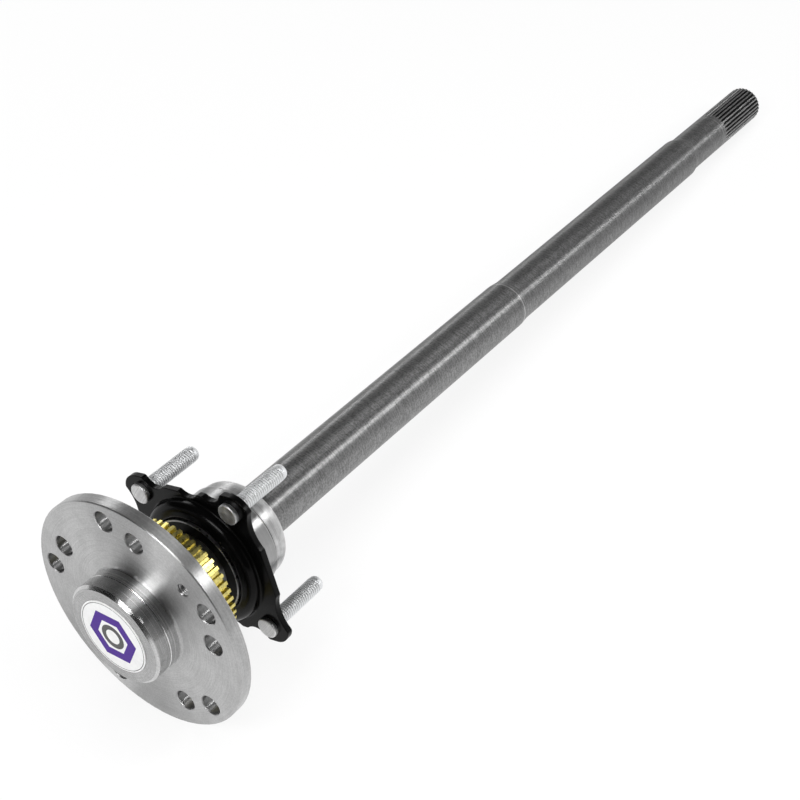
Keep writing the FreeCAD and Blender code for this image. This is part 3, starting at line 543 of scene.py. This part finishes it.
# Ridge of a thread with a flat crest, swept along a helix. Its ends sink toward the root.
def sweepThread(mesh, root, crest, pitch, low, high, stepsPerTurn):
    turns = (high - low) / pitch
    steps = round(turns * stepsPerTurn)
    half = pitch * meshForm["rootShare"]
    flat = pitch * meshForm["crestShare"]
    corners = [(root, -half), (crest, -flat), (crest, flat), (root, half)]
    ring = [mesh.verts.new((radius, 0, low + height)) for radius, height in corners]
    first = mesh.faces.new(ring)
    before = set(mesh.verts)
    bmesh.ops.spin(mesh, geom=[first], cent=(0, 0, 0), axis=(0, 0, 1),
                   dvec=(0, 0, (high - low) / steps), angle=math.tau * turns, steps=steps)
    ridge = ring + [vertex for vertex in mesh.verts if vertex not in before]
    for vertex in ridge:
        fromEnd = min(vertex.co.z - low, high - vertex.co.z) + half
        share = max(0.0, min(1.0, fromEnd / pitch))
        radius = math.hypot(vertex.co.x, vertex.co.y)
        wanted = root + (radius - root) * share
        vertex.co.x *= wanted / radius
        vertex.co.y *= wanted / radius
    for face in mesh.faces:
        face.smooth = True


# Heights are from the front of the plate's ear, where the head rests.
studSizes = {
    "headRadius": 7.2,
    "headThickness": 3.2,
    "headRound": 0.9,
    "headBackRound": 0.25,
    "hollowRadius": 4.32,
    "hollowDepth": 0.05,
    "hollowMiddle": 0.15,
    "shoulderRadius": 5.75,
    "shoulderEnd": 8.6,
    "shoulderRound": 0.45,
    "rootRadius": 5.15,
    "rootEnd": 44.7,
    "rootMargin": 0.02,
    "crestRadius": 5.55,
    "ridgeSink": 0.05,
    "ridgeStart": 9.0,
    "ridgeEnd": 45.1,
    "pitch": 1.81,
    "stepsPerTurn": 36,
    "tipStart": 45.4,
    "tipStartRadius": 5.3,
    "tipRadius": 5.25,
    "tipRound": 3.4,
    "length": 49.3,
    "mountHeight": 27.45,
    "sides": 56,
}


def makeStud(number, zinc, rootShadeZinc, headShadeZinc):
    size = studSizes
    rootSlot = 1
    headSlot = 2
    mesh = bmesh.new()
    turnSolid(mesh, [
        (0, size["hollowMiddle"] - size["headThickness"], 0),
        (size["hollowRadius"], size["hollowDepth"] - size["headThickness"], 0),
        (size["headRadius"], -size["headThickness"], size["headRound"]),
        (size["headRadius"], 0, size["headBackRound"]),
        (size["shoulderRadius"], 0, 0),
        (size["shoulderRadius"], size["shoulderEnd"], size["shoulderRound"]),
        (size["rootRadius"], size["shoulderEnd"], 0),
        (size["rootRadius"], size["rootEnd"], 0),
        (size["tipStartRadius"], size["tipStart"], 0),
        (size["tipRadius"], size["length"], size["tipRound"]),
        (0, size["length"], 0),
    ], size["sides"])
    for face in mesh.faces:
        middle = face.calc_center_median()
        atRoot = math.hypot(middle.x, middle.y) < size["rootRadius"] + size["rootMargin"]
        # The head gets the painted shade.
        if middle.z < 0:
            face.material_index = headSlot
        # The thread's root gets the painted shade.
        elif atRoot and size["shoulderEnd"] < middle.z < size["rootEnd"]:
            face.material_index = rootSlot
    sweepThread(mesh, size["rootRadius"] - size["ridgeSink"], size["crestRadius"], size["pitch"],
                size["ridgeStart"], size["ridgeEnd"], size["stepsPerTurn"])
    mount = mounts["retainer_stud_thread_%d" % number]
    start = Vector(mount["pos_m"]) - axis * size["mountHeight"] * mm
    piece = addPiece("retainerStud%d" % number, mesh, layAlong(start), [zinc, rootShadeZinc, headShadeZinc],
                     "retainer")
    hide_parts("retainer_stud_%d" % number)


# An inside thread: its crest is nearer the hole's axis than its root.
rotorThread = {
    "root": 4.02,
    "crest": 3.35,
    "pitch": 1.25,
    "halfLength": 3.8,
    "stepsPerTurn": 32,
}


def makeRotorThread(material):
    size = rotorThread
    mesh = bmesh.new()
    sweepThread(mesh, size["root"], size["crest"], size["pitch"],
                -size["halfLength"], size["halfLength"], size["stepsPerTurn"])
    place = layAlong(Vector(mounts["rotor_screw"]["pos_m"]))
    addPiece("rotorHoleThread", mesh, place, [material], "shaft")


labelSizes = {
    "radius": 26.2,
    "back": -20.5,
    "front": -21.08,
    "frontRound": 0.2,
    "sides": 128,
    "inkHeight": 0.02,
    "ringOuter": 25.2,
    "ringInner": 24.75,
    "hexagonOuter": 19.5,
    "hexagonInner": 12.4,
    "hexagonTurn": 0.35,
    "discOuter": 9.0,
    "discInner": 5.4,
    "discSides": 96,
}


# Flat printed shape between an outer and an inner outline with the same number of corners.
def printBand(mesh, outer, inner, corners, turn, height, slotNumber):
    place = Matrix.Translation((0, 0, height)) @ Matrix.Rotation(turn, 4, "Z")
    rims = []
    for radius in (outer, inner):
        made = bmesh.ops.create_circle(mesh, segments=corners, radius=radius, matrix=place)
        rims.append(made["verts"])
    edges = list({edge for rim in rims for vertex in rim for edge in vertex.link_edges})
    bridged = bmesh.ops.bridge_loops(mesh, edges=edges)
    for face in bridged["faces"]:
        face.material_index = slotNumber


def makeLabel(film, dark, purple):
    size = labelSizes
    darkSlot = 1
    purpleSlot = 2
    mesh = bmesh.new()
    turnSolid(mesh, [
        (0, size["back"], 0),
        (size["radius"], size["back"], 0),
        (size["radius"], size["front"], size["frontRound"]),
        (0, size["front"], 0),
    ], size["sides"])
    ink = size["front"] - size["inkHeight"]
    printBand(mesh, size["ringOuter"], size["ringInner"], size["sides"], 0, ink, darkSlot)
    printBand(mesh, size["hexagonOuter"], size["hexagonInner"], 6, size["hexagonTurn"], ink, purpleSlot)
    printBand(mesh, size["discOuter"], size["discInner"], size["discSides"], 0, ink, darkSlot)
    for face in mesh.faces:
        face.smooth = face.material_index == 0
    piece = addPiece("hubLabel", mesh, layAlong(Vector()), [film, dark, purple], "shaft")
    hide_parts("hub_label")


for number in (1, 2, 3, 4):
    makeStud(number, metals["studZinc"], metals["threadRootShade"], metals["studHeadShade"])
makeRotorThread(shaftSteel)
makeLabel(coats["labelFilmPrint"], coats["labelDarkInk"], coats["labelPurpleInk"])
print("studs, thread and label ready")


# The floor near the object is part paper, which takes the shadow, and part white of its own.
# The world that metal mirrors is dark above, toward the camera and on one side.
studio = {
    "floor": grey(0.86),
    "floorHalf": 6,
    "glow": 0.85,
    "glowReach": (1.2, 2.6),
    "horizon": 1.0,
    "ceiling": 0.05,
    "ceilingRise": (0.25, 0.75),
    "darkSide": 0.08,
    "darkToward": (-0.49, 0.87, 0),
    "darkSpread": (0.5, 0.9),
    "cameraSide": 0.02,
    "cameraSpread": (0.0, 0.25),
}


def makeFloor():
    mesh = bmesh.new()
    bmesh.ops.create_grid(mesh, x_segments=1, y_segments=1, size=studio["floorHalf"])
    bmesh.ops.translate(mesh, verts=mesh.verts, vec=(0, 0, cadLow.z))
    data = bpy.data.meshes.new("floor")
    mesh.to_mesh(data)
    mesh.free()
    floor = bpy.data.objects.new("floor", data)
    bpy.context.scene.collection.objects.link(floor)
    material, tree = newMaterial("floorPaper")
    paper = addNode(tree, "ShaderNodeBsdfDiffuse", {"Color": studio["floor"]})
    white = addNode(tree, "ShaderNodeEmission", {"Color": grey(1), "Strength": 1.0})
    rays = addNode(tree, "ShaderNodeLightPath").outputs
    seen = doMath(tree, "MAXIMUM", rays["Is Camera Ray"], rays["Is Glossy Ray"])
    seen = doMath(tree, "MAXIMUM", seen, rays["Is Transmission Ray"])
    place = addNode(tree, "ShaderNodeTexCoord").outputs["Object"]
    distance = doVectorMath(tree, "LENGTH", place, output="Value")
    share = multiply(tree, seen, mapRange(tree, distance, *studio["glowReach"], studio["glow"], 1.0))
    mix = addNode(tree, "ShaderNodeMixShader", {0: share, 1: paper.outputs[0], 2: white.outputs[0]})
    useSurface(tree, mix)
    data.materials.append(material)


def makeWorld():
    world = bpy.data.worlds.new("studio")
    world.use_nodes = True
    tree = world.node_tree
    tree.nodes.clear()
    direction = addNode(tree, "ShaderNodeTexCoord").outputs["Generated"]
    parts = addNode(tree, "ShaderNodeSeparateXYZ", {0: direction}).outputs
    height = mapRange(tree, parts["Z"], *studio["ceilingRise"])
    colour = mixColour(tree, height, grey(studio["horizon"]), grey(studio["ceiling"]))
    toward = doVectorMath(tree, "DOT_PRODUCT", direction, studio["darkToward"], "Value")
    side = mapRange(tree, toward, *studio["darkSpread"], 1.0, studio["darkSide"])
    front = mapRange(tree, parts["X"], *studio["cameraSpread"], studio["cameraSide"], 1.0)
    colour = scaleVector(tree, colour, multiply(tree, side, front))
    mirrored = addNode(tree, "ShaderNodeBackground", {"Color": colour, "Strength": 1.0})
    white = addNode(tree, "ShaderNodeBackground", {"Color": grey(1), "Strength": 1.0})
    seen = addNode(tree, "ShaderNodeLightPath").outputs["Is Camera Ray"]
    mix = addNode(tree, "ShaderNodeMixShader", {0: seen, 1: mirrored.outputs[0], 2: white.outputs[0]})
    useSurface(tree, mix, "ShaderNodeOutputWorld")
    bpy.context.scene.world = world


# The strip stands beside the shaft and draws the line of light along it.
lamps = {
    "strip": {"place": axis * 0.7 + Vector((0, -0.91, 0.923)), "aim": axis * 0.7, "size": (0.27, 0.4),
              "watts": 5.6},
    "fill": {"place": (-1.15, 0, 1.4), "aim": (0, 0, 0), "size": (0.6, 0.8), "watts": 20},
    "domeLamp": {"place": (0.65, 1.1, 0.56), "aim": (0.06, 0, 0.05), "size": (0.3, 0.3), "watts": 1.4},
    "overhead": {"place": (0.2, -0.3, 2.4), "aim": (0.3, 0, 0), "size": (2.2, 2.2), "watts": 48,
                 "mirrored": False},
}


# Rectangular lamp that faces a point.
def makeLamp(name, place, aim, size, watts, mirrored=True):
    data = bpy.data.lights.new(name, "AREA")
    data.shape = "RECTANGLE"
    data.size, data.size_y = size
    data.energy = watts
    lamp = bpy.data.objects.new(name, data)
    lamp.location = place
    away = Vector(place) - Vector(aim)
    lamp.rotation_euler = away.to_track_quat("Z", "X").to_euler()
    lamp.visible_glossy = mirrored
    bpy.context.scene.collection.objects.link(lamp)


makeFloor()
makeWorld()
for name, lamp in lamps.items():
    makeLamp(name, **lamp)
print("studio ready")
